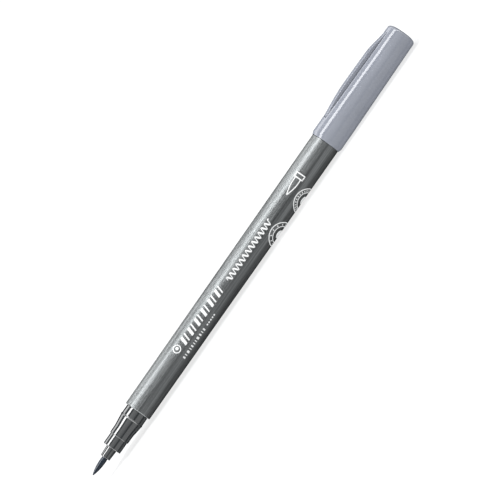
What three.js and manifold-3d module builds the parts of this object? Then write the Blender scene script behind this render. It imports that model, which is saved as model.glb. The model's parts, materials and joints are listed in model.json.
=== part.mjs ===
// Pigment brush pen lying on its side, with its cap posted on the tail and the clip straight up.
// Units are millimetres. Stations run along the pen: 0 is the brush's tip, and the cap's closed end
// is at the full length. Every piece is drawn in stations, and one group moves them to the frame.
import * as THREE from 'three';
import { mergeVertices } from 'three/addons/utils/BufferGeometryUtils.js';
import Module from 'manifold-3d';

const wasm = await Module();
wasm.setup();

// Driving dimensions
const fullLength = 173;
const sides = 24;               // facets round the pen, with a flat 1.4 mm wide straight down for it to lie on
const brushSides = 24;          // facets round the brush
const fit = 0.1;                // radial clearance of a pushed-in piece
const seat = 0.3;               // gap between two faces that meet end to end

const brush = {
  tipRadius: 0.08,
  bellyRadius: 1.03,            // thickest part of the exposed brush
  bellyStation: 5.3,
  ogive: 1.8,                   // how late the sides straighten out towards the belly
  fullness: 0.8,                // how blunt the point is; lower is blunter
  easeOff: 0.05,                // how much thinner it is where it enters the holder
  rootRadius: 0.95,             // the plain rod inside the pen
  tipEnds: 2.85,                // the brush bends between these stations and the next ones
  bellyStarts: 3.2,
  bellyEnds: 5.7,
  rootStarts: 6.1,
  rootEnds: 42.5,
  rootPoint: 0.6,               // radius of the bevelled end of the rod
  rootBevel: 0.5,
};

const holder = {
  front: 6.8,
  frontRadius: 1.68,
  rear: 10.4,
  rearRadius: 1.87,
  spigotRadius: 1.6,
  spigotEnds: 20,
  edge: 0.12,                   // bevel of the nose
  countersink: 0.6,             // depth of the slight flare where the brush comes out
};

const section = {
  front: 10.5,
  ringRadius: 3.15,             // the narrow ring behind the holder
  ringEnds: 14.5,
  landRadius: 3.42,
  landEnds: 17.3,
  coneEnds: 21.5,
  gripRadius: 3.92,
  beadRadius: 4.02,             // the snap bead that the cap clicks over
  insertEnds: 34,
  socketDepth: 8,               // the wider rear end of the insert, where ink reaches the brush
  wall: 0.75,
  edge: 0.2,                    // bevel of the ring
  step: 0.1,                    // length of each small slope at a step or bead
  beadLength: 0.4,
};

const barrel = {
  front: 24.85,
  frontRadius: 4.62,
  rear: 129.4,
  rearRadius: 4.93,
  boreRadius: 3.75,
  spigotRadius: 4.05,           // the neck that the cap is posted on
  spigotEnds: 142.5,
  frontFillet: 0.4,
  leadIn: 0.4,                  // length of the bevel that guides the cap on
  leadInDepth: 0.15,
};

const reservoir = {
  front: 35,
  rear: 127,
  coreRadius: 3.15,
  edge: 0.2,
  holeClearance: 1,             // room behind the brush's root in its blind hole
  filmWall: 0.15,
};

const tailPlug = {
  front: 134,
  rear: 143.7,
  flangeRadius: 3.95,
  wall: 1,
  edge: 0.3,
};

const cap = {
  mouth: 129.7,
  mouthRadius: 5.49,            // the thickest part of the pen
  landEnds: 136,
  endRadius: 5.02,              // at the start of the end's rounding
  rounding: 1,
  roundingSweep: 70,            // degrees of the rounding before the end turns into a shallow dome
  domeHeight: 0.3,
  flatRadius: 3,                // flat disc in the middle of the closed end
  boreRadius: 4.15,
  stepStation: 146.5,           // the inner cap's collar sits on this step
  innerRadius: 3.75,
  endWall: 1.8,
  edge: 0.25,                   // bevels at the mouth
  boreLeadIn: 0.4,
  lipLength: 1,                 // the rim slopes up to the full radius over this length
  cavityEdge: 0.5,
};

const innerCap = {
  front: 144,
  rear: 160.2,
  boreRadius: 3,
  wall: 0.65,
  endWall: 1,
  boreEdge: 0.8,
  endEdge: 0.6,
  mouthFlare: 0.2,
};

const clip = {
  tip: 136.5,
  root: 170.2,
  width: 3,
  gap: 0.3,                     // gap to the pocket all round
  depth: 0.45,                  // how far the inner face lies below the cap's surface
  archHeight: 1.03,
  archStarts: 137.3,
  archFullFrom: 150,
  archFullTo: 160.5,
  archEnds: 169.3,
  rootSteepness: 1.4,           // higher brings the root down to the cap more steeply
};

// A closed body of revolution round the pen's axis. The profile is a list of [station, radius]
// that runs forward to back on the outside; a ring closes on itself.
function turned(profile, facets = sides) {
  const points = profile.map(([station, radius]) => new THREE.Vector2(radius, station));
  const closesOnItself = profile[0][1] > 0;
  if (closesOnItself) points.push(points[0].clone());
  return new THREE.LatheGeometry(points, facets, Math.PI / facets).rotateZ(-Math.PI / 2);
}

// A side outline of [station, height above the axis], given a width across the pen.
function slab(outline, width) {
  const shape = new THREE.Shape(outline.map(([station, height]) => new THREE.Vector2(station, height)));
  const geometry = new THREE.ExtrudeGeometry(shape, { depth: width, bevelEnabled: false });
  return geometry.rotateX(Math.PI / 2).translate(0, width / 2, 0);
}

// Points of a rounded corner on a profile, from one angle to another round its centre.
function roundedCorner(centreStation, centreRadius, radius, fromDegrees, toDegrees, steps) {
  const points = [];
  for (let i = 0; i <= steps; i += 1) {
    const angle = THREE.MathUtils.degToRad(fromDegrees + ((toDegrees - fromDegrees) * i) / steps);
    points.push([centreStation + radius * Math.sin(angle), centreRadius + radius * Math.cos(angle)]);
  }
  return points;
}

// Evenly spaced stations from one to another, both included.
function stations(from, to, steps) {
  return Array.from({ length: steps + 1 }, (_, i) => from + ((to - from) * i) / steps);
}

function toManifold(geometry) {
  const bare = geometry.clone();
  bare.deleteAttribute('normal');
  bare.deleteAttribute('uv');
  const merged = mergeVertices(bare, 1e-5);
  const index = merged.index.array;
  const triangles = [];
  for (let i = 0; i < index.length; i += 3) {
    const [a, b, c] = [index[i], index[i + 1], index[i + 2]];
    if (a !== b && b !== c && c !== a) triangles.push(a, b, c);
  }
  return new wasm.Manifold(new wasm.Mesh({
    numProp: 3,
    vertProperties: new Float32Array(merged.attributes.position.array),
    triVerts: new Uint32Array(triangles),
  }));
}

function toGeometry(manifold) {
  const mesh = manifold.getMesh();
  const geometry = new THREE.BufferGeometry();
  geometry.setAttribute('position', new THREE.BufferAttribute(mesh.vertProperties, 3));
  geometry.setIndex(new THREE.BufferAttribute(mesh.triVerts, 1));
  geometry.computeVertexNormals();
  return geometry;
}

// Radius of the brush at a station: a slim ogive that swells to the belly and eases off behind it.
function brushRadius(station) {
  if (station >= brush.bellyStation) {
    const behind = (station - brush.bellyStation) / (holder.front - brush.bellyStation);
    return brush.bellyRadius - brush.easeOff * behind * behind;
  }
  const fromBelly = 1 - station / brush.bellyStation;
  const share = (1 - fromBelly ** brush.ogive) ** brush.fullness;
  return brush.tipRadius + (brush.bellyRadius - brush.tipRadius) * share;
}

// The cap's outer radius behind its mouth: a short cylinder, then an even taper.
function capRadius(station) {
  const along = Math.max(0, station - cap.landEnds) / (fullLength - cap.rounding - cap.landEnds);
  return cap.mouthRadius + (cap.endRadius - cap.mouthRadius) * along;
}

// The clip's outer face is a long arch: it leaves the cap's surface near the tip, stays level
// over the middle and comes back down to the surface more steeply at the root.
function clipArch(station) {
  const rise = THREE.MathUtils.clamp((station - clip.archStarts) / (clip.archFullFrom - clip.archStarts), 0, 1);
  const fall = THREE.MathUtils.clamp((clip.archEnds - station) / (clip.archEnds - clip.archFullTo), 0, 1);
  const up = Math.sin((rise * Math.PI) / 2);
  const down = Math.sin((fall * Math.PI) / 2) ** clip.rootSteepness;
  return capRadius(station) + clip.archHeight * up * down;
}

function brushPoint() {
  const surface = stations(0.05, brush.tipEnds, 7).map((s) => [s, brushRadius(s)]);
  return turned([[0, 0], ...surface, [brush.tipEnds, 0]], brushSides);
}

function brushBelly() {
  const surface = stations(brush.bellyStarts, brush.bellyEnds, 5).map((s) => [s, brushRadius(s)]);
  return turned([[brush.bellyStarts, 0], ...surface, [brush.bellyEnds, 0]], brushSides);
}

function brushRoot() {
  return turned([
    [brush.rootStarts, 0],
    [brush.rootStarts, brushRadius(brush.rootStarts)],
    [holder.front, brushRadius(holder.front)],
    [holder.front + brush.rootBevel, brush.rootRadius],
    [brush.rootEnds - brush.rootBevel, brush.rootRadius],
    [brush.rootEnds, brush.rootPoint],
    [brush.rootEnds, 0],
  ], brushSides);
}

function brushHolder() {
  const bore = brush.rootRadius + fit;
  return turned([
    [holder.front, bore + fit / 2],
    [holder.front, holder.frontRadius - holder.edge],
    [holder.front + holder.edge, holder.frontRadius],
    [holder.rear, holder.rearRadius],
    [holder.rear, holder.spigotRadius],
    [holder.spigotEnds, holder.spigotRadius],
    [holder.spigotEnds, bore],
    [holder.front + holder.countersink, bore],
  ]);
}

function gripSection() {
  const holderBore = holder.spigotRadius + fit;
  const insertRadius = barrel.boreRadius - fit;
  const shoulder = barrel.front - seat;
  return turned([
    [section.front, holderBore],
    [section.front, section.ringRadius - section.edge],
    [section.front + section.edge, section.ringRadius],
    [section.ringEnds, section.ringRadius],
    [section.ringEnds + section.step, section.landRadius],
    [section.landEnds, section.landRadius],
    [section.coneEnds - section.step, (section.beadRadius + section.gripRadius) / 2],
    [section.coneEnds + section.step, section.beadRadius],
    [section.coneEnds + section.beadLength, section.gripRadius],
    [shoulder, section.gripRadius],
    [shoulder, insertRadius],
    [section.insertEnds, insertRadius],
    [section.insertEnds, insertRadius - section.wall],
    [section.insertEnds - section.socketDepth, insertRadius - section.wall],
    [shoulder, holderBore],
  ]);
}

function barrelTube() {
  const fillet = barrel.frontFillet;
  const front = roundedCorner(barrel.front + fillet, barrel.frontRadius - fillet, fillet, -90, 0, 4);
  return turned([
    [barrel.front, barrel.boreRadius],
    ...front,
    [barrel.rear, barrel.rearRadius],
    [barrel.rear, barrel.spigotRadius],
    [barrel.spigotEnds - barrel.leadIn, barrel.spigotRadius],
    [barrel.spigotEnds, barrel.spigotRadius - barrel.leadInDepth],
    [barrel.spigotEnds, barrel.boreRadius],
  ]);
}

// The fibre rod that holds the ink, with a blind hole in front for the brush's root.
function reservoirCore() {
  const holeRadius = brush.rootRadius + fit;
  const holeEnds = brush.rootEnds + reservoir.holeClearance;
  return turned([
    [holeEnds, 0],
    [holeEnds, holeRadius],
    [reservoir.front, holeRadius],
    [reservoir.front, reservoir.coreRadius - reservoir.edge],
    [reservoir.front + reservoir.edge, reservoir.coreRadius],
    [reservoir.rear - reservoir.edge, reservoir.coreRadius],
    [reservoir.rear, reservoir.coreRadius - reservoir.edge],
    [reservoir.rear, 0],
  ]);
}

function reservoirWrap() {
  const inside = reservoir.coreRadius + fit;
  const outside = inside + reservoir.filmWall;
  return turned([
    [reservoir.front, inside],
    [reservoir.front, outside],
    [reservoir.rear, outside],
    [reservoir.rear, inside],
  ]);
}

// A thin cup pushed into the barrel's rear end, open towards the ink.
function tailPlugCup() {
  const outside = barrel.boreRadius - fit;
  const inside = outside - tailPlug.wall;
  const flange = barrel.spigotEnds + fit;
  return turned([
    [tailPlug.rear - tailPlug.wall, 0],
    [tailPlug.rear - tailPlug.wall, inside],
    [tailPlug.front, inside],
    [tailPlug.front, outside - tailPlug.edge],
    [tailPlug.front + tailPlug.edge, outside],
    [flange, outside],
    [flange, tailPlug.flangeRadius],
    [tailPlug.rear - tailPlug.edge, tailPlug.flangeRadius],
    [tailPlug.rear, tailPlug.flangeRadius - tailPlug.edge],
    [tailPlug.rear, 0],
  ]);
}

function capShell() {
  const cavityEnd = fullLength - cap.endWall;
  const roundingCentre = fullLength - cap.rounding - cap.domeHeight;
  const corner = roundedCorner(roundingCentre, cap.endRadius - cap.rounding, cap.rounding, 0, cap.roundingSweep, 4);
  const body = toManifold(turned([
    [cavityEnd, 0],
    [cavityEnd, cap.innerRadius - cap.cavityEdge],
    [cavityEnd - cap.cavityEdge, cap.innerRadius],
    [cap.stepStation, cap.innerRadius],
    [cap.stepStation, cap.boreRadius],
    [cap.mouth + cap.boreLeadIn, cap.boreRadius],
    [cap.mouth, cap.boreRadius + cap.edge],
    [cap.mouth, cap.mouthRadius - cap.edge],
    [cap.mouth + cap.lipLength, cap.mouthRadius],
    [cap.landEnds, cap.mouthRadius],
    ...corner,
    [fullLength, cap.flatRadius],
    [fullLength, 0],
  ]));
  const pocketFloor = clip.depth + clip.gap;
  const front = clip.tip - clip.gap;
  const back = clip.root + clip.gap;
  const clearOfCap = 1.5 * cap.mouthRadius;
  const pocket = slab([
    [front, capRadius(front) - pocketFloor],
    [back, capRadius(back) - pocketFloor],
    [back, clearOfCap],
    [front, clearOfCap],
  ], clip.width + 2 * clip.gap);
  return toGeometry(body.subtract(toManifold(pocket)));
}

function innerCapCup() {
  const outside = innerCap.boreRadius + innerCap.wall;
  const collar = cap.boreRadius - fit;
  const collarEnds = cap.stepStation - fit;
  const boreEnds = innerCap.rear - innerCap.endWall;
  return turned([
    [boreEnds, 0],
    [boreEnds, innerCap.boreRadius - innerCap.boreEdge],
    [boreEnds - innerCap.boreEdge, innerCap.boreRadius],
    [innerCap.front + 2 * innerCap.mouthFlare, innerCap.boreRadius],
    [innerCap.front, innerCap.boreRadius + innerCap.mouthFlare],
    [innerCap.front, collar - innerCap.mouthFlare],
    [innerCap.front + innerCap.mouthFlare, collar],
    [collarEnds, collar],
    [collarEnds, outside],
    [innerCap.rear - innerCap.endEdge, outside],
    [innerCap.rear, outside - innerCap.endEdge],
    [innerCap.rear, 0],
  ]);
}

// The clip is the slice of a turned arch that a straight bar leaves, so its outer face stays
// round about the pen's axis and its inner face is flat.
function clipBar() {
  const arch = stations(clip.tip, clip.root, 20).map((s) => [s, clipArch(s)]);
  const turnedArch = toManifold(turned([[clip.tip, 0], ...arch, [clip.root, 0]], 2 * sides));
  const clearOfClip = 1.5 * cap.mouthRadius;
  const bar = toManifold(slab([
    [clip.tip, capRadius(clip.tip) - clip.depth],
    [clip.root, capRadius(clip.root) - clip.depth],
    [clip.root, clearOfClip],
    [clip.tip, clearOfClip],
  ], clip.width));
  return toGeometry(turnedArch.intersect(bar));
}

function piece(name, geometry, color, roughness, metalness) {
  const mesh = new THREE.Mesh(geometry, new THREE.MeshStandardMaterial({ color, roughness, metalness }));
  mesh.name = name;
  return mesh;
}

const pen = new THREE.Group();
pen.position.set(-fullLength / 2, 0, cap.mouthRadius * Math.cos(Math.PI / sides));
pen.add(
  piece('brush_point', brushPoint(), 0x1d2f45, 0.7, 0),
  piece('brush_belly', brushBelly(), 0x1f3148, 0.7, 0),
  piece('brush_root', brushRoot(), 0x22344a, 0.7, 0),
  piece('brush_holder', brushHolder(), 0x3a3d3f, 0.35, 0),
  piece('grip_section', gripSection(), 0x55585a, 0.25, 0.2),
  piece('barrel', barrelTube(), 0x6e7073, 0.4, 0.6),
  piece('ink_reservoir', reservoirCore(), 0xd8d6cf, 0.9, 0),
  piece('reservoir_wrap', reservoirWrap(), 0xdfe4e6, 0.3, 0),
  piece('tail_plug', tailPlugCup(), 0x3f4144, 0.45, 0),
  piece('cap_shell', capShell(), 0x9a9ea8, 0.35, 0.3),
  piece('inner_cap', innerCapCup(), 0xe4e4e0, 0.4, 0),
  piece('pocket_clip', clipBar(), 0xa6aab2, 0.35, 0.3),
);

const root = new THREE.Group();
root.add(pen);
export default root;
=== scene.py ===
import json
import math

import bmesh
import bpy
from mathutils import Matrix, Vector


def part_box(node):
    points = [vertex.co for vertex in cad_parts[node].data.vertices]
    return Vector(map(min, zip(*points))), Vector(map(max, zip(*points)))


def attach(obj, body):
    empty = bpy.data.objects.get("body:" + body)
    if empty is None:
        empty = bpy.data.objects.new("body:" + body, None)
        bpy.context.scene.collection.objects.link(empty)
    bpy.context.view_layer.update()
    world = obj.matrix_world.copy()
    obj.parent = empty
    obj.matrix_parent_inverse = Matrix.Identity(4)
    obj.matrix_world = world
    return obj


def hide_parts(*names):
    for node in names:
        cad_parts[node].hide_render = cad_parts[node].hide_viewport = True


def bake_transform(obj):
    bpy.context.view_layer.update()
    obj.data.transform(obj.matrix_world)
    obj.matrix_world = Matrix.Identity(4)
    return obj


# Brush pen lying on a table: brush at -X, posted cap at +X, clip straight up.
# Stations are millimetres along the pen from the brush's tip, radii are millimetres from its axis.
# Angles go round the axis: 0 faces the camera's side (-Y), 90 is straight up, 180 is the back.

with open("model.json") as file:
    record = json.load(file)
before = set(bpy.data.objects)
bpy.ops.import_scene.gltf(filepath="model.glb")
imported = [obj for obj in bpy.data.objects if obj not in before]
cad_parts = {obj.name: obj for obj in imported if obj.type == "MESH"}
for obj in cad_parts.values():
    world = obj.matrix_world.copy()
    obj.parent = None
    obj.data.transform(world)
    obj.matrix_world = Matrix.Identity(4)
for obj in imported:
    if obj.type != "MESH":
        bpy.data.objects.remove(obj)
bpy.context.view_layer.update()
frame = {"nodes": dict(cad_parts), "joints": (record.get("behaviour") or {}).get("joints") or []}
mm = 0.001
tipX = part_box("brush_point")[0].x
barrelLow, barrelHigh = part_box("barrel")
axisZ = (barrelLow.z + barrelHigh.z) / 2
print("frame loaded:", len(frame["nodes"]), "nodes")


# helpers for shapes

def span(node):  # front station, rear station and outer radius of a CAD node
    low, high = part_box(node)
    return (low.x - tipX) / mm, (high.x - tipX) / mm, (high.y - low.y) / 2 / mm


def spot(station, radius, angle):
    turn = math.radians(angle)
    return Vector((tipX + station * mm, -radius * mm * math.cos(turn), axisZ + radius * mm * math.sin(turn)))


def smooth(value):  # eases 0..1
    value = min(1, max(0, value))
    return value * value * (3 - 2 * value)


rounding = {
    "mostOfSide": 0.42,       # an arc takes at most this share of the shorter side beside it
    "degreesPerStep": 14,
    "supportAt": 1.15,        # a support point this many times the arc's reach from its corner
}


def roundCorners(corners, closed=True):
    # corners are (station, radius, edge radius); gives a profile with arcs and a support point beside each
    profile = []
    for i, (station, radius, edge) in enumerate(corners):
        here = Vector((station, radius))
        isEnd = not closed and i in (0, len(corners) - 1)
        if edge == 0 or isEnd:
            profile.append((station, radius))
            continue
        before = Vector(corners[i - 1][:2]) - here
        after = Vector(corners[(i + 1) % len(corners)][:2]) - here
        room = rounding["mostOfSide"] * min(before.length, after.length)
        before.normalize()
        after.normalize()
        half = before.angle(after) / 2
        reach = min(edge / math.tan(half), room)
        size = reach * math.tan(half)
        centre = here + (before + after).normalized() * (size / math.sin(half))
        first = here + before * reach - centre
        last = here + after * reach - centre
        sweep = first.angle(last)
        steps = max(3, round(math.degrees(sweep) / rounding["degreesPerStep"]))
        profile.append(tuple(here + before * reach * rounding["supportAt"]))
        for k in range(steps + 1):
            share = k / steps
            early = math.sin((1 - share) * sweep) / math.sin(sweep)
            late = math.sin(share * sweep) / math.sin(sweep)
            profile.append(tuple(centre + first * early + last * late))
        profile.append(tuple(here + after * reach * rounding["supportAt"]))
    return profile


def bridge(bm, ringA, ringB):  # quads between two rings, or a fan where one is a single point
    count = max(len(ringA), len(ringB))
    if count == 1:
        return
    for k in range(count):
        n = (k + 1) % count
        corners = [ringA[k % len(ringA)], ringA[n % len(ringA)], ringB[n % len(ringB)], ringB[k % len(ringB)]]
        unique = list(dict.fromkeys(corners))
        if len(unique) > 2:
            bm.faces.new(unique)


def loft(rings, closed=False):  # rings of points to one solid; open lofts end in a point or a flat face
    bm = bmesh.new()
    rows = [[bm.verts.new(p) for p in ring] for ring in rings]
    for ringA, ringB in zip(rows, rows[1:]):
        bridge(bm, ringA, ringB)
    if closed:
        bridge(bm, rows[-1], rows[0])
    else:
        for ring in (rows[0], rows[-1]):
            if len(ring) > 2:
                bm.faces.new(ring)
    return bm


def turned(profile, segments=96, closed=True):  # body of revolution round the pen's axis
    rings = []
    for station, radius in profile:
        steps = segments if radius > 1e-4 else 1      # a ring on the axis is one point
        rings.append([spot(station, radius, 360 * k / steps) for k in range(steps)])
    return loft(rings, closed)


def addPiece(name, bm, material, body, replaces=(), sharpAbove=35, far=None):
    bmesh.ops.recalc_face_normals(bm, faces=bm.faces)
    for face in bm.faces:
        face.smooth = True
    for edge in bm.edges:
        if edge.is_manifold and edge.calc_face_angle() > math.radians(sharpAbove):
            edge.smooth = False
    mesh = bpy.data.meshes.new(name)
    bm.to_mesh(mesh)
    bm.free()
    mesh.materials.append(material)
    piece = bpy.data.objects.new(name, mesh)
    bpy.context.scene.collection.objects.link(piece)
    if far:  # a piece that spans two bodies: baked in place and given no body
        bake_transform(piece)
    else:
        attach(piece, body)
    if replaces:
        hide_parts(*replaces)
    return piece


# helpers for materials

def hexToLinear(colour):  # sRGB hex to the linear colour that a node takes
    channels = [int(colour[i:i + 2], 16) / 255 for i in (1, 3, 5)]
    linear = [c / 12.92 if c <= 0.04045 else ((c + 0.055) / 1.055) ** 2.4 for c in channels]
    return (*linear, 1.0)


def addNode(tree, kind, settings=None, values=None, links=None):
    node = tree.nodes.new(kind)
    for key, value in (settings or {}).items():
        setattr(node, key, value)
    for key, value in (values or {}).items():
        node.inputs[key].default_value = value
    for key, source in (links or {}).items():
        tree.links.new(source, node.inputs[key])
    return node


def startMaterial(name):
    material = bpy.data.materials.new(name)
    material.use_nodes = True
    tree = material.node_tree
    tree.nodes.clear()
    place = addNode(tree, "ShaderNodeTexCoord").outputs["Object"]
    return material, tree, place


def finishMaterial(tree, shader):
    addNode(tree, "ShaderNodeOutputMaterial", links={"Surface": shader.outputs["BSDF"]})


def perMetre(sizeMm):  # texture scale that makes a feature this many millimetres wide
    return 1 / (sizeMm * mm)


# materials

barrelFinish = {
    "dark": "#5d6061", "light": "#919495", "metallic": 0.9,
    "streakWidth": 0.34,     # the real scratches are finer; this is the narrowest that shows
    "streakLength": 22,
    "bandWidth": 1.36, "bandLength": 60,     # broader bands under the streaks
    "streakShare": 0.6, "bandShare": 0.4,
    "contrast": (0.34, 0.66),
    "roughness": 0.38, "roughnessSpread": 0.07, "bump": 0.22,
    "anisotropy": 0.6, "coat": 0.1, "coatRoughness": 0.3,
}


bumpHeight = 0.01 * mm      # how deep the finest surface marks are


def brushedMetallicLacquer():
    # Aluminium-pigment lacquer over ABS, brushed along the barrel: soft lengthways streaks and a
    # highlight that spreads round the barrel but keeps its shape along it.
    material, tree, place = startMaterial("brushedMetallicLacquer")
    d = barrelFinish
    narrow = perMetre(d["streakWidth"])
    fineWay = addNode(tree, "ShaderNodeMapping",
                      values={"Scale": (perMetre(d["streakLength"]), narrow, narrow)},
                      links={"Vector": place})
    fine = addNode(tree, "ShaderNodeTexNoise", values={"Scale": 1, "Detail": 3, "Roughness": 0.6},
                   links={"Vector": fineWay.outputs["Vector"]})
    wide = perMetre(d["bandWidth"])
    broadWay = addNode(tree, "ShaderNodeMapping", values={"Scale": (perMetre(d["bandLength"]), wide, wide)},
                       links={"Vector": place})
    broad = addNode(tree, "ShaderNodeTexNoise", values={"Scale": 1, "Detail": 2, "Roughness": 0.5},
                    links={"Vector": broadWay.outputs["Vector"]})
    both = addNode(tree, "ShaderNodeMath", {"operation": "MULTIPLY_ADD"}, {1: d["streakShare"]},
                   {0: fine.outputs["Fac"]})
    share = addNode(tree, "ShaderNodeMath", {"operation": "MULTIPLY"}, {1: d["bandShare"]},
                    {0: broad.outputs["Fac"]})
    tree.links.new(share.outputs["Value"], both.inputs[2])
    spread = addNode(tree, "ShaderNodeMapRange",
                     values={"From Min": d["contrast"][0], "From Max": d["contrast"][1]},
                     links={"Value": both.outputs["Value"]})
    colour = addNode(tree, "ShaderNodeMix", {"data_type": "RGBA"},
                     {"A": hexToLinear(d["dark"]), "B": hexToLinear(d["light"])},
                     {"Factor": spread.outputs["Result"]})
    rough = addNode(tree, "ShaderNodeMapRange",
                    values={"To Min": d["roughness"] - d["roughnessSpread"],
                            "To Max": d["roughness"] + d["roughnessSpread"]},
                    links={"Value": fine.outputs["Fac"]})
    bump = addNode(tree, "ShaderNodeBump", values={"Strength": d["bump"], "Distance": bumpHeight},
                   links={"Height": both.outputs["Value"]})
    tangent = addNode(tree, "ShaderNodeTangent", {"direction_type": "RADIAL", "axis": "X"})
    shader = addNode(tree, "ShaderNodeBsdfPrincipled",
                     values={"Metallic": d["metallic"], "Anisotropic": d["anisotropy"],
                             "Coat Weight": d["coat"], "Coat Roughness": d["coatRoughness"]},
                     links={"Base Color": colour.outputs[2], "Roughness": rough.outputs["Result"],
                            "Normal": bump.outputs["Normal"], "Tangent": tangent.outputs["Tangent"]})
    finishMaterial(tree, shader)
    return material


gripFinish = {
    "base": "#36393b", "deep": "#2d3032", "ior": 1.8,
    "cloud": 3.5, "scuff": 0.5, "scuffStretch": 8,     # wipe marks are this many times longer than wide
    "roughness": 0.1, "smoother": 0.04, "duller": 0.05, "bump": 0.02,
    "coat": 0.45, "coatRoughness": 0.05, "coatIor": 1.8,
}


def polishedGreyAbs():
    # Graphite-grey ABS from a polished mould: hard bright reflections, faint wipe marks.
    # Its index is set above the real 1.54 so that dim boxes still give a strong highlight.
    material, tree, place = startMaterial("polishedGreyAbs")
    d = gripFinish
    cloud = addNode(tree, "ShaderNodeTexNoise", values={"Scale": perMetre(d["cloud"]), "Detail": 2},
                    links={"Vector": place})
    colour = addNode(tree, "ShaderNodeMix", {"data_type": "RGBA"},
                     {"A": hexToLinear(d["deep"]), "B": hexToLinear(d["base"])},
                     {"Factor": cloud.outputs["Fac"]})
    scuffWay = addNode(tree, "ShaderNodeMapping",
                       values={"Scale": (perMetre(d["scuff"] * d["scuffStretch"]), perMetre(d["scuff"]),
                                         perMetre(d["scuff"]))},
                       links={"Vector": place})
    scuff = addNode(tree, "ShaderNodeTexNoise", values={"Scale": 1, "Detail": 4},
                    links={"Vector": scuffWay.outputs["Vector"]})
    rough = addNode(tree, "ShaderNodeMapRange",
                    values={"To Min": d["roughness"] - d["smoother"],
                            "To Max": d["roughness"] + d["duller"]},
                    links={"Value": scuff.outputs["Fac"]})
    bump = addNode(tree, "ShaderNodeBump", values={"Strength": d["bump"], "Distance": bumpHeight},
                   links={"Height": scuff.outputs["Fac"]})
    shader = addNode(tree, "ShaderNodeBsdfPrincipled",
                     values={"IOR": d["ior"], "Coat Weight": d["coat"], "Coat Roughness": d["coatRoughness"],
                             "Coat IOR": d["coatIor"]},
                     links={"Base Color": colour.outputs[2], "Roughness": rough.outputs["Result"],
                            "Normal": bump.outputs["Normal"]})
    finishMaterial(tree, shader)
    return material


capFinish = {
    "base": "#9296a0", "shade": "#898d97",
    "sparkle": 0.4,          # cell size of the painted glints, lighter specks in the colour that stand for pearl flakes catching light; real flakes are much finer; drawn this coarse so that they show
    "paintedGlintShare": 0.12,
    "flow": 6, "flowStretch": 2.5, "contrast": (0.3, 0.9),
    "roughness": 0.5, "roughnessSpread": 0.05, "bump": 0.02,
    "specular": 0.04,        # nearly none under the coat, where more of it speckles under a bright light
    "coat": 0.55, "coatRoughness": 0.05, "coatIor": 1.8,
}


def pearlGreyPolypropylene():
    # Polypropylene with a silver pearl pigment, satin moulded: even grey with fine glints painted into the
    # colour as lighter specks, faint flow clouds
    #     # along the cap, and a crisp line of light on its smooth skin. The coat stands for that skin.
    # Its index is set above the real 1.5 so that dim boxes still give a strong highlight.
    material, tree, place = startMaterial("pearlGreyPolypropylene")
    d = capFinish
    flowWay = addNode(tree, "ShaderNodeMapping",
                      values={"Scale": (perMetre(d["flow"] * d["flowStretch"]), perMetre(d["flow"]),
                                        perMetre(d["flow"]))},
                      links={"Vector": place})
    flow = addNode(tree, "ShaderNodeTexNoise", values={"Scale": 1, "Detail": 3, "Distortion": 0.6},
                   links={"Vector": flowWay.outputs["Vector"]})
    glint = addNode(tree, "ShaderNodeTexVoronoi", values={"Scale": perMetre(d["sparkle"])},
                    links={"Vector": place})
    glintShare = addNode(tree, "ShaderNodeSeparateColor", links={"Color": glint.outputs["Color"]})
    # painted glints: the cells lift the colour by this share whatever the light; their green channel varies
    # the roughness below
    blend = addNode(tree, "ShaderNodeMath", {"operation": "MULTIPLY_ADD"}, {1: d["paintedGlintShare"]},
                    {0: glintShare.outputs["Red"], 2: flow.outputs["Fac"]})
    spread = addNode(tree, "ShaderNodeMapRange",
                     values={"From Min": d["contrast"][0], "From Max": d["contrast"][1]},
                     links={"Value": blend.outputs["Value"]})
    colour = addNode(tree, "ShaderNodeMix", {"data_type": "RGBA"},
                     {"A": hexToLinear(d["shade"]), "B": hexToLinear(d["base"])},
                     {"Factor": spread.outputs["Result"]})
    rough = addNode(tree, "ShaderNodeMapRange",
                    values={"To Min": d["roughness"] - d["roughnessSpread"],
                            "To Max": d["roughness"] + d["roughnessSpread"]},
                    links={"Value": glintShare.outputs["Green"]})
    bump = addNode(tree, "ShaderNodeBump", values={"Strength": d["bump"], "Distance": bumpHeight},
                   links={"Height": flow.outputs["Fac"]})
    shader = addNode(tree, "ShaderNodeBsdfPrincipled",
                     values={"Specular IOR Level": d["specular"], "Coat Weight": d["coat"],
                             "Coat Roughness": d["coatRoughness"], "Coat IOR": d["coatIor"]},
                     links={"Base Color": colour.outputs[2], "Roughness": rough.outputs["Result"],
                            "Normal": bump.outputs["Normal"]})
    finishMaterial(tree, shader)
    return material


brushFinish = {
    "deep": "#07101a", "light": "#16293b",
    "fibreWidth": 0.16,      # real fibres are much finer; drawn this coarse so that they show
    "fibreLength": 5, "contrast": (0.35, 0.7),
    "roughness": 0.42, "roughnessSpread": 0.12, "bump": 0.4,
    "specular": 0.25, "coat": 0.35, "coatRoughness": 0.06, "coatIor": 1.8,
}


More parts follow.
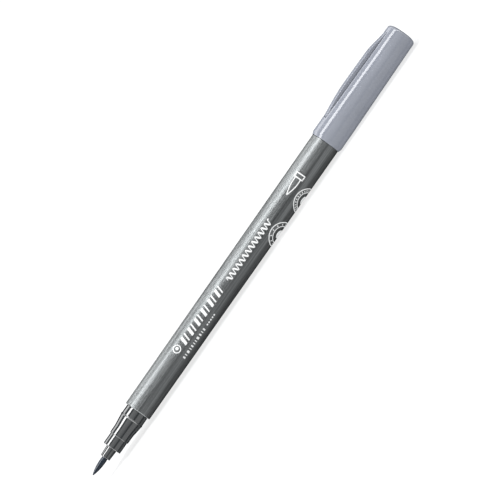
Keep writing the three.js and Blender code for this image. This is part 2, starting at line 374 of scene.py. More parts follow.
def inkSoakedFelt():
    # Bonded synthetic felt soaked with indigo ink: fine fibres along the brush and a damp shine.
    # The coat is the film of ink. Its index is set above real ink's so that dim boxes still show in it.
    material, tree, place = startMaterial("inkSoakedFelt")
    d = brushFinish
    narrow = perMetre(d["fibreWidth"])
    fibreWay = addNode(tree, "ShaderNodeMapping",
                       values={"Scale": (perMetre(d["fibreLength"]), narrow, narrow)},
                       links={"Vector": place})
    fibre = addNode(tree, "ShaderNodeTexNoise", values={"Scale": 1, "Detail": 4, "Roughness": 0.65},
                    links={"Vector": fibreWay.outputs["Vector"]})
    spread = addNode(tree, "ShaderNodeMapRange",
                     values={"From Min": d["contrast"][0], "From Max": d["contrast"][1]},
                     links={"Value": fibre.outputs["Fac"]})
    colour = addNode(tree, "ShaderNodeMix", {"data_type": "RGBA"},
                     {"A": hexToLinear(d["deep"]), "B": hexToLinear(d["light"])},
                     {"Factor": spread.outputs["Result"]})
    rough = addNode(tree, "ShaderNodeMapRange",
                    values={"To Min": d["roughness"] - d["roughnessSpread"],
                            "To Max": d["roughness"] + d["roughnessSpread"]},
                    links={"Value": fibre.outputs["Fac"]})
    bump = addNode(tree, "ShaderNodeBump", values={"Strength": d["bump"], "Distance": 2 * bumpHeight},
                   links={"Height": fibre.outputs["Fac"]})
    shader = addNode(tree, "ShaderNodeBsdfPrincipled",
                     values={"Specular IOR Level": d["specular"], "Coat Weight": d["coat"],
                             "Coat Roughness": d["coatRoughness"], "Coat IOR": d["coatIor"]},
                     links={"Base Color": colour.outputs[2], "Roughness": rough.outputs["Result"],
                            "Normal": bump.outputs["Normal"]})
    finishMaterial(tree, shader)
    return material


plainFinishes = {
    # name: (light, dark, roughness, grain in mm, bump strength)
    "screenPrintedInk": ("#f4f5f5", "#e6e8e8", 0.45, 0.3, 0.2),          # thin white ink, slightly uneven
    "mouldedBlackPolyethylene": ("#3c3f42", "#323537", 0.42, 0.4, 0.15),  # dull, soft-looking plug
    "naturalPolyethylene": ("#e3e3de", "#d6d6cf", 0.38, 0.6, 0.1),        # milky, waxy liner
    "bondedPolyesterFibre": ("#dcdad3", "#b9b6ac", 0.9, 0.12, 0.7),       # matt, stringy ink rod
    "wrapFilm": ("#e4e8ea", "#d2d8db", 0.2, 2.0, 0.1),                    # smooth wrap with faint waves
}
plainSpread = 0.06       # how far each roughness varies either way
rodStretch = 10          # the ink rod's fibres lie along the pen


def plainMoulding(name):
    # One recipe for the simple pieces: two close tones, a grain of the size above and a slight bump.
    light, dark, roughness, grain, strength = plainFinishes[name]
    material, tree, place = startMaterial(name)
    alongPen = rodStretch if name == "bondedPolyesterFibre" else 1
    way = addNode(tree, "ShaderNodeMapping",
                  values={"Scale": (perMetre(grain * alongPen), perMetre(grain), perMetre(grain))},
                  links={"Vector": place})
    noise = addNode(tree, "ShaderNodeTexNoise", values={"Scale": 1, "Detail": 3},
                    links={"Vector": way.outputs["Vector"]})
    colour = addNode(tree, "ShaderNodeMix", {"data_type": "RGBA"},
                     {"A": hexToLinear(dark), "B": hexToLinear(light)}, {"Factor": noise.outputs["Fac"]})
    rough = addNode(tree, "ShaderNodeMapRange",
                    values={"To Min": roughness - plainSpread, "To Max": roughness + plainSpread},
                    links={"Value": noise.outputs["Fac"]})
    bump = addNode(tree, "ShaderNodeBump", values={"Strength": strength, "Distance": bumpHeight},
                   links={"Height": noise.outputs["Fac"]})
    shader = addNode(tree, "ShaderNodeBsdfPrincipled",
                     links={"Base Color": colour.outputs[2], "Roughness": rough.outputs["Result"],
                            "Normal": bump.outputs["Normal"]})
    finishMaterial(tree, shader)
    return material


lacquer = brushedMetallicLacquer()
greyAbs = polishedGreyAbs()
pearl = pearlGreyPolypropylene()
felt = inkSoakedFelt()
whiteInk = plainMoulding("screenPrintedInk")
plugPlastic = plainMoulding("mouldedBlackPolyethylene")
linerPlastic = plainMoulding("naturalPolyethylene")
fibre = plainMoulding("bondedPolyesterFibre")
film = plainMoulding("wrapFilm")
print("materials made")


# brush

brush = {
    "tipRadius": 0.08,
    "bellyStation": 5.3,   # thickest place
    "ogive": 1.8,          # how late the sides straighten out
    "fullness": 0.8,
    "rearTaper": 0.05, "taperLength": 2,     # the rear half thins this much over this length
    "nose": (0.015, 0.05), "firstRow": 0.06,     # the blunt end of the point
    "insideHolder": 0.3, "rodStarts": 0.9,       # behind the holder's front
    "rodRadius": 0.95,     # the plain rod inside the pen
    "rodChamfer": 0.3, "rodChamferLength": 0.6,
    "seam": 4.6,           # where the rear half meets the front half
    "bendReach": 0.85,     # the brush bends this far either side of each hinge
    "rowStep": 0.12,
}
bellyRadius = span("brush_belly")[2]
holderFront = span("brush_holder")[0]
rodEnd = span("brush_root")[1]


def brushRadius(station):
    d = brush
    if station > d["bellyStation"]:
        return bellyRadius - d["rearTaper"] * smooth((station - d["bellyStation"]) / d["taperLength"])
    share = 1 - (1 - station / d["bellyStation"]) ** d["ogive"]
    return d["tipRadius"] + (bellyRadius - d["tipRadius"]) * share ** d["fullness"]


def brushRows(start, end):
    steps = round((end - start) / brush["rowStep"])
    return [(start + (end - start) * i / steps, brushRadius(start + (end - start) * i / steps))
            for i in range(steps + 1)]


def hingeOf(name):
    joint = next(j for j in frame["joints"] if j["name"] == name)
    return Vector(joint["pos_m"])


def addBrush():
    d = brush
    reach = d["bendReach"] * mm
    rootHinge = hingeOf("brush_bend")
    tipHinge = hingeOf("brush_tip_bend")
    along = Vector((1, 0, 0))
    seam = d["seam"]
    front = [(0, 0), d["nose"]] + brushRows(d["firstRow"], seam) + [(seam, 0)]
    addPiece("brushFront", turned(front, 64, closed=False), felt, "brush_middle",
             ["brush_point"], far={"body": "brush_tip", "start": tipHinge + along * reach,
                                   "end": tipHinge - along * reach})
    rod = [(holderFront + d["rodStarts"], d["rodRadius"]), (rodEnd - d["rodChamferLength"], d["rodRadius"]),
           (rodEnd, d["rodRadius"] - d["rodChamfer"]), (rodEnd, 0)]
    rear = [(seam, 0)] + brushRows(seam, holderFront + d["insideHolder"]) + rod
    addPiece("brushRear", turned(rear, 64, closed=False), felt, "pen_body",
             ["brush_root", "brush_belly"], far={"body": "brush_middle", "start": rootHinge + along * reach,
                                                 "end": rootHinge - along * reach})


addBrush()
print("brush made")


# holder and grip section

holder = {
    "frontRadius": 1.68, "spigotRadius": 1.6, "bore": 1.05, "lip": 0.14,
    "boreMouth": 0.06, "boreMouthLength": 0.5,     # the bore widens this much at its front
    "shoulderGap": 0.03,
}
grip = {
    "ringRadius": 3.15, "ringLength": 4.0,
    "landRadius": 3.42, "landEnds": 6.8,
    "beadStation": 11.1, "beadWidth": 0.26, "beadRadius": 4.08,
    "gripRadius": 3.92,
    "insertRadius": 3.65, "wall": 0.75, "wideBoreLength": 8,
    "ringStep": 0.08, "landSwell": 0.03, "coneSwell": 0.02, "shoulderGap": 0.04,
    "holderBore": 1.7,
    "edge": 0.16,            # edge radius of the steps, which catch a thin line of light
}
barrelFront, barrelEnd, barrelRadius = span("barrel")


def addHolder():
    front, rear, radius = span("brush_holder")
    shoulder = span("grip_section")[0] - holder["shoulderGap"]
    d = holder
    corners = [
        (front, d["bore"] + d["boreMouth"], 0.04),
        (front, d["frontRadius"], d["lip"]),
        (shoulder, radius, 0.04),
        (shoulder, d["spigotRadius"], 0),
        (rear, d["spigotRadius"], 0.15),
        (rear, d["bore"], 0),
        (front + d["boreMouthLength"], d["bore"], 0),
    ]
    addPiece("brushHolder", turned(roundCorners(corners)), greyAbs, "pen_body",
             ["brush_holder"])


def addGrip():
    front, rear, _ = span("grip_section")
    d = grip
    shoulder = barrelFront - d["shoulderGap"]
    bead = front + d["beadStation"]
    ringEnd = front + d["ringLength"]
    corners = [
        (front, d["holderBore"], 0.05),
        (front, d["ringRadius"], d["edge"] * 1.4),
        (ringEnd, d["ringRadius"], 0.05),
        (ringEnd + d["ringStep"], d["landRadius"], d["edge"]),
        (front + d["landEnds"], d["landRadius"] + d["landSwell"], 1.2),
        (bead - d["beadWidth"], d["gripRadius"] + d["coneSwell"], 0.06),
        (bead, d["beadRadius"], 0.1),
        (bead + d["beadWidth"], d["gripRadius"], 0.06),
        (shoulder, d["gripRadius"], 0.03),
        (shoulder, d["insertRadius"], 0),
        (rear, d["insertRadius"], 0.2),
        (rear, d["insertRadius"] - d["wall"], 0),
        (rear - d["wideBoreLength"], d["insertRadius"] - d["wall"], 0),
        (shoulder, d["holderBore"], 0),
    ]
    addPiece("gripSection", turned(roundCorners(corners)), greyAbs, "pen_body",
             ["grip_section"])


addHolder()
addGrip()
print("holder and grip section made")


# barrel and tail plug

barrel = {
    "frontRadius": 4.62, "frontEdge": 0.4,
    "bore": 3.75,
    # the neck at the barrel's end, which the cap is pushed onto
    "neckRadius": 4.05, "neckBead": 4.11, "neckBeadFromEnd": 2.6, "neckBeadHalf": 0.5,
    "capGap": 0.07,
}
plug = {
    "flange": 1.1, "wall": 1, "boreGap": 0.06,
    "dishRadius": 2.3, "dishDepth": 0.35, "dishSlope": 0.3,
    "gateRadius": 0.5, "gateTop": 0.4, "gateHeight": 0.15,     # witness of the moulding gate
}
capFront, capEnd, mouthRadius = span("cap_shell")
shoulderStation = capFront - barrel["capGap"]


def barrelOuter(station):  # outer radius of the tapered tube
    share = (station - barrelFront) / (shoulderStation - barrelFront)
    return barrel["frontRadius"] + (barrelRadius - barrel["frontRadius"]) * share


def addBarrel():
    d = barrel
    bead = barrelEnd - d["neckBeadFromEnd"]
    corners = [
        (barrelFront, d["bore"], 0.06),
        (barrelFront, d["frontRadius"], d["frontEdge"]),
        (shoulderStation, barrelRadius, 0.1),
        (shoulderStation, d["neckRadius"], 0.05),
        (bead - d["neckBeadHalf"], d["neckRadius"], 0.2),
        (bead, d["neckBead"], 0.3),
        (bead + d["neckBeadHalf"], d["neckRadius"], 0.2),
        (barrelEnd, d["neckRadius"], 0.25),
        (barrelEnd, d["bore"], 0.05),
    ]
    addPiece("barrelTube", turned(roundCorners(corners), 144), lacquer, "pen_body",
             ["barrel"])


def addPlug():
    front, rear, flangeRadius = span("tail_plug")
    d = plug
    outside = barrel["bore"] - d["boreGap"]
    inside = outside - d["wall"]
    flangeStart = rear - d["flange"]
    corners = [
        (rear - d["wall"], 0, 0),
        (rear - d["wall"], inside, 0.3),
        (front, inside, 0.1),
        (front, outside, 0.3),
        (flangeStart, outside, 0),
        (flangeStart, flangeRadius, 0.1),
        (rear, flangeRadius, 0.3),
        (rear, d["dishRadius"] + d["dishSlope"], 0.1),
        (rear - d["dishDepth"], d["dishRadius"], 0.15),
        (rear - d["dishDepth"], d["gateRadius"], 0.05),
        (rear - d["dishDepth"] + d["gateHeight"], d["gateTop"], 0.05),
        (rear - d["dishDepth"] + d["gateHeight"], 0, 0),
    ]
    addPiece("tailPlug", turned(roundCorners(corners, closed=False), closed=False), plugPlastic, "pen_body",
             ["tail_plug"])


addBarrel()
addPlug()
print("barrel and tail plug made")


# printed marks on the barrel

prints = {
    "thickness": 0.02, "barCorner": 0.18, "ringSegments": 72,
    "drop": {"station": 48.3, "angle": 27, "radius": 1.25, "line": 0.34, "dotShift": 0.15, "dotShare": 0.42},
    "strokes": {"from": 51.2, "to": 73.4, "angle": 22.5, "height": 2.7, "pitch": 1.85,
                "thick": 1.05, "thin": 0.5, "slant": 0.7},
    "wave": {"from": 75.6, "to": 99, "angle": 17, "height": 0.85, "pitch": 1.75,
             "width": 0.42, "widthSwing": 0.16, "stepsPerWave": 14},
    "dashes": {"from": 47.2, "angle": -17.5, "height": 1.0, "gap": 0.62,
               "lengths": [0.55, 0.3, 0.8, 0.3, 0.55, 0.3, 0.3, 0.8, 0.55, 0.3, 0.55]},
    "dots": {"from": 60.3, "pitch": 0.95, "count": 5, "radius": 0.3},
    "nibSign": {"tip": 108.7, "angle": 21, "length": 6.3, "halfWidth": 1.0, "swell": 1.9, "fullness": 0.9,
                "line": 0.34, "steps": 14, "ferrule": 1.75, "ferruleLength": 1.5, "ferruleLine": 0.4},
    "seals": [{"station": 97.1, "angle": -60, "radius": 4.4, "ticks": 12},
              {"station": 110.4, "angle": -64, "radius": 4.4, "ticks": 24}],
}
sealStyle = {
    "line": 0.32, "innerLine": 0.28, "tickLine": 0.3,
    "innerShare": 0.68, "tickShares": (0.76, 0.9), "dotShare": 0.34,     # of the seal's radius
}


def wrap(station, across, angle, lift):  # a flat drawing wrapped round the barrel; across is in mm
    radius = barrelOuter(station)
    return spot(station, radius + lift, angle + math.degrees(across / radius))


def printRows(bm, rows, angle, closed=False):
    # rows of (station, across) points become one thin slab of ink
    top = [[bm.verts.new(wrap(s, c, angle, prints["thickness"])) for s, c in row] for row in rows]
    low = [[bm.verts.new(wrap(s, c, angle, -prints["thickness"])) for s, c in row] for row in rows]
    count = len(rows)
    for i in range(count if closed else count - 1):
        n = (i + 1) % count
        for k in range(len(rows[0]) - 1):
            bm.faces.new((top[i][k], top[n][k], top[n][k + 1], top[i][k + 1]))
            bm.faces.new((low[i][k + 1], low[n][k + 1], low[n][k], low[i][k]))
        for k in (0, -1):
            bm.faces.new((top[i][k], low[i][k], low[n][k], top[n][k]))
    if not closed:
        for i in (0, -1):
            for k in range(len(rows[0]) - 1):
                bm.faces.new((top[i][k], top[i][k + 1], low[i][k + 1], low[i][k]))


def acrossRow(station, low, high, slant=0, steps=8):
    return [(station + slant * (k / steps - 0.5), low + (high - low) * k / steps) for k in range(steps + 1)]


def inkBar(bm, start, end, low, high, angle, slant=0):  # a bar with rounded corners
    corner = min(prints["barCorner"], (end - start) * 0.45, (high - low) * 0.45)
    steps = 3
    front, back = [], []
    for k in range(steps + 1):
        turn = math.pi / 2 * k / steps
        inset = corner * (1 - math.sin(turn))
        reach = corner * (1 - math.cos(turn))
        front.append(acrossRow(start + reach, low + inset, high - inset, slant))
        back.append(acrossRow(end - reach, low + inset, high - inset, slant))
    printRows(bm, front + back[::-1], angle)


def inkDisc(bm, station, across, radius, angle):
    rows = []
    steps = 10
    for k in range(steps + 1):
        turn = math.pi * (0.02 + 0.96 * k / steps)      # stops just short of both ends, which would be points
        half = radius * math.sin(turn)
        rows.append(acrossRow(station - radius * math.cos(turn), across - half, across + half))
    printRows(bm, rows, angle)


def inkLine(bm, path, widths, angle, closed=False):  # a line of changing width along a path
    rows = []
    count = len(path)
    for i, (station, across) in enumerate(path):
        before = path[i - 1] if closed or i else path[0]
        after = path[(i + 1) % count] if closed or i < count - 1 else path[-1]
        way = Vector((after[0] - before[0], after[1] - before[1])).normalized()
        half = widths[i] / 2
        rows.append([(station - way.y * half * side, across + way.x * half * side) for side in (-1, 0, 1)])
    printRows(bm, rows, angle, closed)


def inkRing(bm, station, radius, width, angle):
    count = prints["ringSegments"]
    path = [(station + radius * math.cos(math.tau * k / count), radius * math.sin(math.tau * k / count))
            for k in range(count)]
    inkLine(bm, path, [width] * count, angle, closed=True)


def addStrokes(bm):  # thick and thin slanted pen strokes in turn
    d = prints["strokes"]
    count = int((d["to"] - d["from"]) / d["pitch"])
    for i in range(count):
        start = d["from"] + i * d["pitch"]
        width = d["thick"] if i % 2 == 0 else d["thin"]
        inkBar(bm, start, start + width, -d["height"] / 2, d["height"] / 2, d["angle"], d["slant"])


def addWave(bm):  # a practice wave, thick on the way down and thin on the way up
    d = prints["wave"]
    steps = round((d["to"] - d["from"]) / d["pitch"] * d["stepsPerWave"])
    path, widths = [], []
    for i in range(steps + 1):
        station = d["from"] + (d["to"] - d["from"]) * i / steps
        phase = (station - d["from"]) / d["pitch"] * math.tau
        path.append((station, d["height"] * math.sin(phase)))
        widths.append(d["width"] - d["widthSwing"] * math.cos(phase))
    inkLine(bm, path, widths, d["angle"])


def addDashesAndDots(bm):
    d = prints["dashes"]
    station = d["from"]
    for length in d["lengths"]:
        inkBar(bm, station, station + length, -d["height"] / 2, d["height"] / 2, d["angle"])
        station += length + d["gap"]
    dots = prints["dots"]
    for i in range(dots["count"]):
        inkDisc(bm, dots["from"] + i * dots["pitch"], 0, dots["radius"], d["angle"])


def addNibSign(bm):  # outline of a brush in its ferrule
    d = prints["nibSign"]
    base = d["tip"] + d["length"]
    for side in (-1, 1):
        path = []
        for k in range(d["steps"] + 1):
            share = k / d["steps"]
            path.append((d["tip"] + d["length"] * share,
                         side * d["halfWidth"] * math.sin(share * d["swell"]) ** d["fullness"]))
        inkLine(bm, path, [d["line"]] * len(path), d["angle"])
    half = d["ferrule"]
    line = d["ferruleLine"]
    back = base + d["ferruleLength"]
    for start, end, low, high in ((base, base + line, -half, half), (back, back + line, -half, half),
                                  (base + line, back, -half, -half + line),
                                  (base + line, back, half - line, half)):
        inkBar(bm, start, end, low, high, d["angle"])


def addSeals(bm):  # two plain round seals: a ring, a band of ticks, a ring and a dot
    style = sealStyle
    for d in prints["seals"]:
        inkRing(bm, d["station"], d["radius"], style["line"], d["angle"])
        inkRing(bm, d["station"], d["radius"] * style["innerShare"], style["innerLine"], d["angle"])
        for k in range(d["ticks"]):
            turn = math.tau * k / d["ticks"]
            reaches = [d["radius"] * share for share in style["tickShares"]]
            path = [(d["station"] + r * math.cos(turn), r * math.sin(turn)) for r in reaches]
            inkLine(bm, path, [style["tickLine"]] * 2, d["angle"])
        inkDisc(bm, d["station"], 0, d["radius"] * style["dotShare"], d["angle"])


def addDrop(bm):  # an ink drop in a ring
    d = prints["drop"]
    inkRing(bm, d["station"], d["radius"], d["line"], d["angle"])
    inkDisc(bm, d["station"] + d["dotShift"], 0, d["radius"] * d["dotShare"], d["angle"])


def addPrints():
    for name, draw in (("printedDrop", addDrop), ("printedStrokes", addStrokes), ("printedWave", addWave),
                       ("printedDashes", addDashesAndDots), ("printedNibSign", addNibSign),
                       ("printedSeals", addSeals)):
        bm = bmesh.new()
        draw(bm)
        addPiece(name, bm, whiteInk, "pen_body")


addPrints()
print("printed marks made")


# cap, clip and inner cap

cap = {
    "landLength": 6.3,          # plain cylinder behind the mouth
    "endRadius": 5.02,
    "rounding": 1.0, "dome": 0.3, "flatRadius": 3.0, "roundingSweep": 62,
    "bore": 4.15, "innerRadius": 3.75, "stepAfterMouth": 16.8, "endWall": 1.8,
    "mouthStep": 0.4, "mouthLength": 1.05, "leadIn": 0.3, "leadInLength": 0.45,
    "pocketDepth": 0.75, "pocketGap": 0.3, "pocketDraft": 0.03,
    "pocketEdge": 0.1, "pocketCorner": 0.15,
    "pocketFloor": (0, 0.55, 1.1),     # where the flat floor has its rows of points
    "roundSteps": 44,                  # points from the pocket's edge round to the underside
}
clip = {
    "innerDepth": 0.45,         # how far the clip's inner face lies below the cap's surface
    "archHeight": 1.02, "archStarts": 137.3, "archFullFrom": 150, "archFullTo": 160.5, "archEnds": 169.3,
    "fallFullness": 1.4,        # how soon the arch comes down towards its root
    "sunk": 0.05, "sunkFrom": 0.5, "sunkLength": 0.6,     # the root dives into the cap's skin
    "edge": 0.22, "innerEdge": 0.1, "tipRound": 0.4, "rootBuried": 0.7,
    "tipNarrows": 0.5, "tipTopDrops": 0.1, "tipBottomLifts": 0.08,
    "rowSteps": 70,
    "bendLength": 6,            # the root bends over this length
}
clipFront, clipRear, clipHalfWidth = span("pocket_clip")
taperStart = capFront + cap["landLength"]


def capRadius(station):
    share = max(0, station - taperStart) / (capEnd - cap["rounding"] - taperStart)
    return mouthRadius + (cap["endRadius"] - mouthRadius) * share


def capRing(station, radius, depth):
    # One ring of the cap. Near the top it dips into the clip's pocket by depth; elsewhere it is round.
    half = clipHalfWidth + cap["pocketGap"]
    edge, corner = cap["pocketEdge"], cap["pocketCorner"]
    edgeAngle = math.asin((half + edge) / (radius - edge))
    edgeZ = math.sqrt((radius - edge) ** 2 - (half + edge) ** 2)
    floorZ = radius - cap["pocketDepth"]
    pocket = [(y, floorZ) for y in cap["pocketFloor"]]
    for k in range(4):
        turn = math.pi / 2 * k / 3
        pocket.append((half - corner + corner * math.sin(turn), floorZ + corner * (1 - math.cos(turn))))
    for k in range(5):
        turn = -math.pi / 2 + (edgeAngle + math.pi / 2) * k / 4
        pocket.append((half + edge + edge * math.sin(turn), edgeZ + edge * math.cos(turn)))
    share = depth / cap["pocketDepth"]
    side = []
    for k, (y, z) in enumerate(pocket):
        turn = edgeAngle * k / (len(pocket) - 1)
        side.append((y * share + radius * math.sin(turn) * (1 - share),
                     z * share + radius * math.cos(turn) * (1 - share)))
    plain = cap["roundSteps"]
    for k in range(1, plain + 1):
        turn = edgeAngle + (math.pi - edgeAngle) * k / plain
        side.append((radius * math.sin(turn), radius * math.cos(turn)))
    other = [(-y, z) for y, z in reversed(side[1:-1])]
    return [Vector((tipX + station * mm, y * mm, axisZ + z * mm)) for y, z in side + other]


def pocketWall(station, way):
    # rows of (station, depth) that go down into the pocket; way is 1 at its front end and -1 at its rear
    edge, corner, depth = cap["pocketEdge"], cap["pocketCorner"], cap["pocketDepth"]
    rows = [(station - way * edge * 1.4, 0)]
    for k in range(5):
        turn = math.pi / 2 * k / 4
        rows.append((station - way * edge * (1 - math.sin(turn)), edge * (1 - math.cos(turn))))
    for k in range(4):
        turn = math.pi / 2 * k / 3
        rows.append((station + way * (cap["pocketDraft"] + corner * (1 - math.cos(turn))),
                     depth - corner * (1 - math.sin(turn))))
    return rows if way > 0 else rows[::-1]


def addCapShell():
    d = cap
    cavityEnd = capEnd - d["endWall"]
    step = capFront + d["stepAfterMouth"]
    corners = [
        (cavityEnd, 0, 0),
        (cavityEnd, d["innerRadius"], 0.6),
        (step, d["innerRadius"], 0.05),
        (step, d["bore"], 0.1),
        (capFront + d["leadInLength"], d["bore"], 0.2),
        (capFront, d["bore"] + d["leadIn"], 0.05),
        (capFront, mouthRadius - d["mouthStep"], 0.13),
        (capFront + d["mouthLength"], mouthRadius, 0.3),
        (taperStart, mouthRadius, 0),
    ]
    rows = [(station, radius, 0) for station, radius in roundCorners(corners, closed=False)]
    pocketFront = clipFront - d["pocketGap"]
    pocketRear = clipRear - d["pocketGap"]
    rows += [(station, capRadius(station), depth) for station, depth in pocketWall(pocketFront, 1)]
    steps = 12
    for k in range(1, steps):
        station = pocketFront + 0.4 + (pocketRear - pocketFront - 0.8) * k / steps
        rows.append((station, capRadius(station), d["pocketDepth"]))
    rows += [(station, capRadius(station), depth) for station, depth in pocketWall(pocketRear, -1)]
    roundingStation = capEnd - d["rounding"] - d["dome"]
    centre = capRadius(roundingStation) - d["rounding"]
    rows.append((roundingStation - 0.2, capRadius(roundingStation - 0.2), 0))
    for k in range(9):
        turn = math.radians(d["roundingSweep"] * k / 8)
        rows.append((roundingStation + d["rounding"] * math.sin(turn),
                     centre + d["rounding"] * math.cos(turn), 0))
    domeStation, domeRadius = rows[-1][:2]
    for k in range(1, 6):
        share = 1 - k / 5
        radius = d["flatRadius"] + (domeRadius - d["flatRadius"]) * share
        rows.append((capEnd - (capEnd - domeStation) * share * share, radius, 0))
    rows.append((capEnd, d["flatRadius"] * 0.9, 0))
    rings = [capRing(*row) if row[1] > 2 else [spot(row[0], 0, 0)] for row in rows]
    rings.append([spot(capEnd, 0, 0)])
    addPiece("capShell", loft(rings), pearl, "cap", ["cap_shell"])


def clipTop(station):
    d = clip
    rise = min(1, max(0, (station - d["archStarts"]) / (d["archFullFrom"] - d["archStarts"])))
    fall = min(1, max(0, (d["archEnds"] - station) / (d["archEnds"] - d["archFullTo"])))
    height = d["archHeight"] * math.sin(rise * math.pi / 2)
    height *= math.sin(fall * math.pi / 2) ** d["fallFullness"]
    sunk = d["sunk"] * smooth((station - d["archEnds"] + d["sunkFrom"]) / d["sunkLength"])
    return capRadius(station) + height - sunk


def clipRing(station, halfWidth, topInset, bottomInset):
    radius = clipTop(station) - topInset
    bottom = capRadius(station) - clip["innerDepth"] + bottomInset
    edge = min(clip["edge"], (radius - bottom) * 0.4)
    corner = clip["innerEdge"]
    side = [(y * halfWidth, math.sqrt(radius ** 2 - (y * halfWidth) ** 2)) for y in (0, 0.3, 0.6)]
    edgeY = halfWidth - edge
    edgeAngle = math.asin(edgeY / (radius - edge))
    edgeZ = math.sqrt((radius - edge) ** 2 - edgeY ** 2)
    for k in range(6):
        turn = edgeAngle + (math.pi / 2 - edgeAngle) * k / 5
        side.append((edgeY + edge * math.sin(turn), edgeZ + edge * math.cos(turn)))
    for k in range(4):
        turn = math.pi / 2 * k / 3
        side.append((halfWidth - corner + corner * math.cos(turn), bottom + corner - corner * math.sin(turn)))
    side += [(0.4 * halfWidth, bottom), (0, bottom)]
    other = [(-y, z) for y, z in reversed(side[1:-1])]
    return [Vector((tipX + station * mm, y * mm, axisZ + z * mm)) for y, z in side + other]


def addClip():
    d = clip
    rings = []
    for k in range(7):   # rounded tip
        turn = math.pi / 2 * k / 6
        inset = 1 - math.sin(turn)
        station = clipFront + d["tipRound"] * (1 - math.cos(turn))
        rings.append(clipRing(station, clipHalfWidth - d["tipNarrows"] * inset,
                              d["tipTopDrops"] * inset, d["tipBottomLifts"] * inset))
    steps = d["rowSteps"]
    start = clipFront + d["tipRound"] + 0.1
    end = clipRear + d["rootBuried"]
    for k in range(steps + 1):
        rings.append(clipRing(start + (end - start) * k / steps, clipHalfWidth, 0, 0))
    hinge = hingeOf("clip_flex")
    bendEnd = hinge - Vector((d["bendLength"] * mm, 0, 0))
    addPiece("pocketClip", loft(rings), pearl, "cap", ["pocket_clip"],
             far={"body": "clip", "start": hinge, "end": bendEnd})


innerCap = {"bore": 3.0, "wall": 0.65, "endWall": 1, "draft": 0.05, "collarRadius": 4.05, "collarLength": 2.3}


def addInnerCap():
    front, rear, _ = span("inner_cap")
    d = innerCap
    outside = d["bore"] + d["wall"]
    corners = [
        (rear - d["endWall"], 0, 0),
        (rear - d["endWall"], d["bore"], 1.0),
        (front, d["bore"] + d["draft"], 0.2),
        (front, d["collarRadius"], 0.2),
        (front + d["collarLength"], d["collarRadius"], 0.1),
        (front + d["collarLength"], outside, 0.05),
        (rear, outside, 1.2),
        (rear, 0, 0),
    ]
    addPiece("innerCap", turned(roundCorners(corners, closed=False), closed=False), linerPlastic, "cap",
             ["inner_cap"])


addCapShell()
addClip()
addInnerCap()
print("cap, clip and inner cap made")


# pieces that stay as the frame has them

for nodeName, material in (("ink_reservoir", fibre), ("reservoir_wrap", film)):
    data = frame["nodes"][nodeName].data
    data.materials.clear()
    data.materials.append(material)


# floor, light and camera

studio = {
    "table": "#858687", "glow": 0.72,     # an opal light table: the glow keeps shadows on it pale
    "tableHalf": 3, "mottleMm": 40, "mottle": 1.03,
    "room": 0.75,                         # white room for soft light
    # What gloss sees instead of the room and lamps: long soft boxes beside the pen, with dark gaps.
    # Each stop is (angle round the pen, radiance).
    "boxes": [(-180, 0.01), (-114, 0.01), (-106, 0.25), (-90, 0.25), (-84, 0.01), (-70, 0.01), (-60, 0.72),
              (-20, 0.72), (-11, 0.03), (-3, 0.03), (8, 0.5), (44, 0.85), (53, 0.03), (64, 0.03), (69, 10),
              (82, 10), (87, 0.03), (108, 0.03), (116, 2.8), (135, 2.8), (142, 0.01), (180, 0.01)],
    # Cards beyond the pen's two ends, which light the small edges that face them.
    "tipCard": {"from": 0.6, "to": 0.82, "radiance": 3.5},
    "capCard": {"from": 0.65, "to": 0.95, "radiance": 1.5},
    # around is the angle round the pen, wide is how much of that angle the light fills
    "topStrip": {"around": 76, "wide": 17, "distance": 1.2, "from": -0.48, "to": 0.24, "radiance": 14},
    "backBox": {"around": 133, "wide": 28, "distance": 1.0, "from": -0.3, "to": 0.2, "radiance": 4.2},
}
view = {
    "azimuth": -2.4, "elevation": 13,
    "lean": 55.01,                # the pen's angle in the view
    "distance": 1.45, "sensorMm": 36,
    "frameWidth": 0.16,           # how much of the pen's plane the view spans
    "aimAlong": 1.25, "aimUp": 0.12,
}


def penCentre():
    return Vector((tipX + (capEnd / 2) * mm, 0, axisZ))


def addFloor():
    bm = bmesh.new()
    bmesh.ops.create_grid(bm, x_segments=8, y_segments=8, size=studio["tableHalf"])
    mesh = bpy.data.meshes.new("tableTop")
    bm.to_mesh(mesh)
    bm.free()
    material, tree, place = startMaterial("opalAcrylic")   # sandblasted sheet: no shine, very faint mottling
    noise = addNode(tree, "ShaderNodeTexNoise", values={"Scale": perMetre(studio["mottleMm"]), "Detail": 2},
                    links={"Vector": place})
    tone = hexToLinear(studio["table"])
    colour = addNode(tree, "ShaderNodeMix", {"data_type": "RGBA"},
                     {"A": tone, "B": (*[c * studio["mottle"] for c in tone[:3]], 1)},
                     {"Factor": noise.outputs["Fac"]})
    shader = addNode(tree, "ShaderNodeBsdfPrincipled",
                     values={"Roughness": 0.95, "Specular IOR Level": 0.0, "Emission Color": (1, 1, 1, 1),
                             "Emission Strength": studio["glow"]},
                     links={"Base Color": colour.outputs[2]})
    finishMaterial(tree, shader)
    mesh.materials.append(material)
    floor = bpy.data.objects.new("tableTop", mesh)
    bpy.context.scene.collection.objects.link(floor)
    floor.visible_glossy = False


def addPanel(name, location, target, width, height, radiance):
    data = bpy.data.lights.new(name, "AREA")
    data.shape = "RECTANGLE"
    data.size, data.size_y = width, height
    data.energy = radiance * math.pi * width * height
    lamp = bpy.data.objects.new(name, data)
    bpy.context.scene.collection.objects.link(lamp)
    lamp.location = location
    lamp.rotation_mode = "QUATERNION"
    lamp.rotation_quaternion = (target - location).to_track_quat("-Z", "Y")
    lamp.visible_camera = False
    lamp.visible_glossy = False     # gloss sees the boxes in the room instead


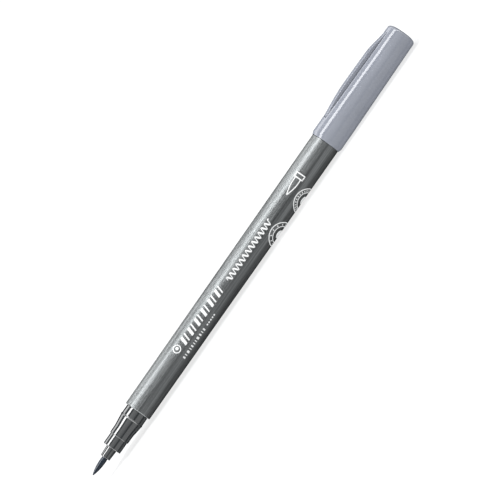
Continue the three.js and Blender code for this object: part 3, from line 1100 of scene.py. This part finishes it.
def addStrip(name, d):  # a light parallel to the pen
    turn = math.radians(d["around"])
    target = Vector(((d["from"] + d["to"]) / 2, 0, axisZ))
    location = target + Vector((0, -math.cos(turn), math.sin(turn))) * d["distance"]
    height = 2 * d["distance"] * math.tan(math.radians(d["wide"] / 2))
    addPanel(name, location, target, d["to"] - d["from"], height, d["radiance"])


def addRoom():
    world = bpy.data.worlds.new("whiteRoom")
    world.use_nodes = True
    tree = world.node_tree
    tree.nodes.clear()
    way = addNode(tree, "ShaderNodeTexCoord").outputs["Generated"]
    axes = addNode(tree, "ShaderNodeSeparateXYZ", links={"Vector": way}).outputs
    front = addNode(tree, "ShaderNodeMath", {"operation": "MULTIPLY"}, {1: -1}, {0: axes["Y"]})
    around = addNode(tree, "ShaderNodeMath", {"operation": "ARCTAN2"},
                     links={0: axes["Z"], 1: front.outputs[0]})
    share = addNode(tree, "ShaderNodeMapRange", values={"From Min": -math.pi, "From Max": math.pi},
                    links={"Value": around.outputs[0]})
    boxes = addNode(tree, "ShaderNodeValToRGB", links={"Fac": share.outputs["Result"]})
    brightest = max(radiance for _, radiance in studio["boxes"])
    stops = boxes.color_ramp.elements
    while len(stops) < len(studio["boxes"]):
        stops.new(1)
    for stop, (angle, radiance) in zip(stops, studio["boxes"]):
        stop.position = (angle + 180) / 360
        stop.color = (*[radiance / brightest] * 3, 1)
    reflected = addNode(tree, "ShaderNodeMath", {"operation": "MULTIPLY"}, {1: brightest},
                        {0: boxes.outputs["Color"]})
    for name, sign in (("tipCard", -1), ("capCard", 1)):
        d = studio[name]
        card = addNode(tree, "ShaderNodeMapRange", {"interpolation_type": "SMOOTHSTEP"},
                       {"From Min": sign * d["from"], "From Max": sign * d["to"], "To Max": d["radiance"]},
                       {"Value": axes["X"]})
        reflected = addNode(tree, "ShaderNodeMath", {"operation": "MAXIMUM"},
                            links={0: reflected.outputs[0], 1: card.outputs["Result"]})
    rays = addNode(tree, "ShaderNodeLightPath")     # soft light sees the plain room, gloss sees the boxes
    strength = addNode(tree, "ShaderNodeMapRange", values={"To Min": studio["room"]},
                       links={"Value": rays.outputs["Is Glossy Ray"], "To Max": reflected.outputs[0]})
    light = addNode(tree, "ShaderNodeBackground", values={"Color": (1, 1, 1, 1)},
                    links={"Strength": strength.outputs["Result"]})
    addNode(tree, "ShaderNodeOutputWorld", links={"Surface": light.outputs["Background"]})
    bpy.context.scene.world = world


def addLights():
    for name in ("topStrip", "backBox"):
        addStrip(name, studio[name])
    addRoom()


def addCamera():
    d = view
    a, e = math.radians(d["azimuth"]), math.radians(d["elevation"])
    back = Vector((math.sin(a) * math.cos(e), -math.cos(a) * math.cos(e), math.sin(e)))
    right = Vector((0, 0, 1)).cross(back).normalized()
    up = back.cross(right)
    penAngle = math.atan2(up.x, right.x)           # where the pen's axis points before the roll
    roll = penAngle - math.radians(d["lean"])
    rolledRight = right * math.cos(roll) + up * math.sin(roll)
    rolledUp = up * math.cos(roll) - right * math.sin(roll)
    data = bpy.data.cameras.new("camera")
    data.sensor_width = d["sensorMm"]
    data.lens = d["sensorMm"] * d["distance"] / d["frameWidth"]
    data.clip_start, data.clip_end = 0.05, 20
    camera = bpy.data.objects.new("camera", data)
    bpy.context.scene.collection.objects.link(camera)
    aim = penCentre() + Vector((d["aimAlong"] * mm, 0, 0)) + up * (d["aimUp"] * mm)
    camera.location = aim + back * d["distance"]
    camera.rotation_mode = "QUATERNION"
    camera.rotation_quaternion = Matrix((rolledRight, rolledUp, back)).transposed().to_quaternion()
    bpy.context.scene.camera = camera


addFloor()
addLights()
addCamera()
bpy.context.scene.view_settings.view_transform = "Standard"
bpy.context.scene.view_settings.look = "None"
print("floor, light and camera set")
